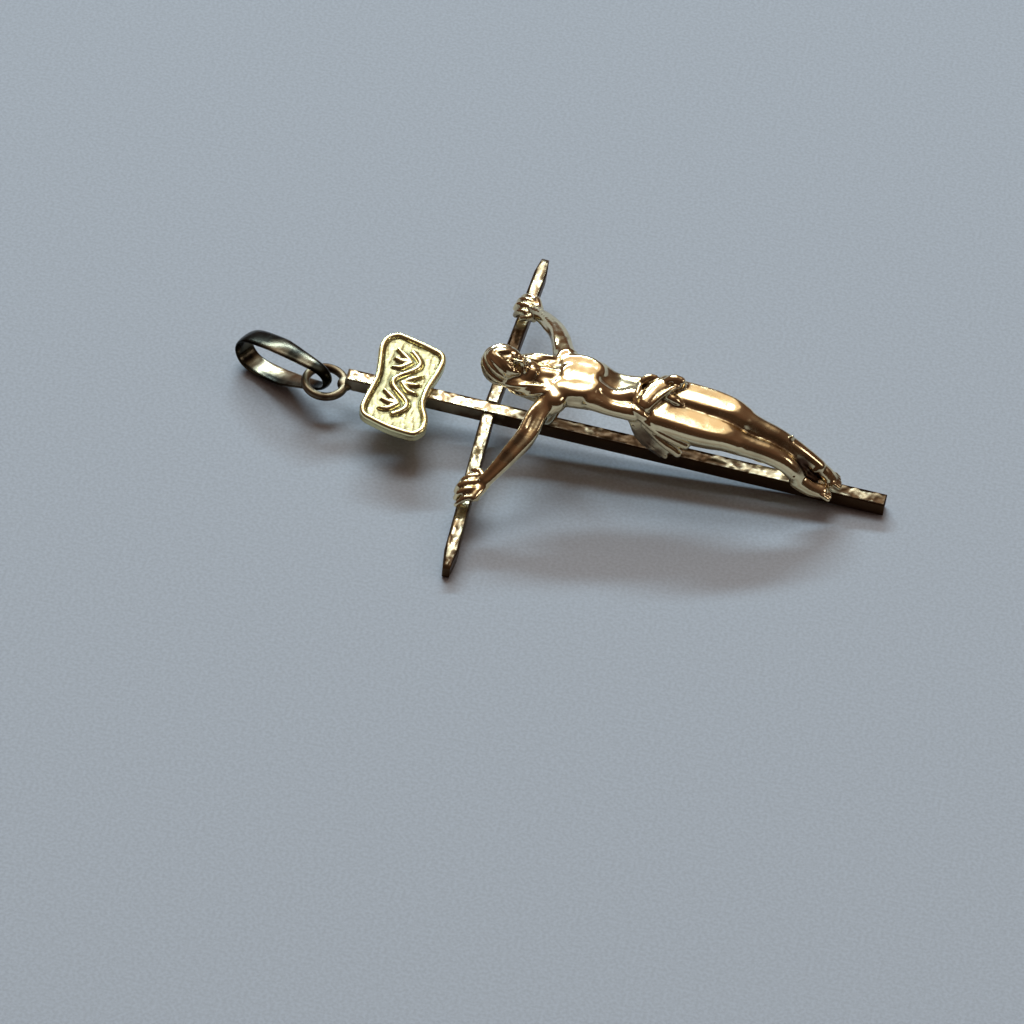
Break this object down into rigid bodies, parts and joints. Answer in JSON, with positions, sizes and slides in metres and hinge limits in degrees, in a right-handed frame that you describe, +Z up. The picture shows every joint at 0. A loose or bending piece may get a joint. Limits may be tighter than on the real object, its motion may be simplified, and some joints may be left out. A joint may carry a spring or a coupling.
{
  "type": "crucifix pendant",
  "caption": "Small gold crucifix pendant with a cast figure, a scroll title plate, a soldered eyelet and a loose band bail, lying on its back.",
  "frame": {"origin": "middle of the outline of the pendant as it lies, on the surface it lies on", "axes": "+X along the upright from the bail to the foot, +Y along the crossbar towards the figure's left hand, +Z up out of the surface, on the figure's side"},
  "size_m": [0.034, 0.022, 0.0064],
  "materials": {
    "bar_gold": "polished, engraved on the front faces",
    "plate_gold": "polished",
    "figure_gold": "polished",
    "bail_gold": "polished"
  },
  "bodies": {
    "root": {"cross": "bar_gold", "plaque": "plate_gold", "corpus": "figure_gold", "bail": "bail_gold"}
  },
  "joints": []
}
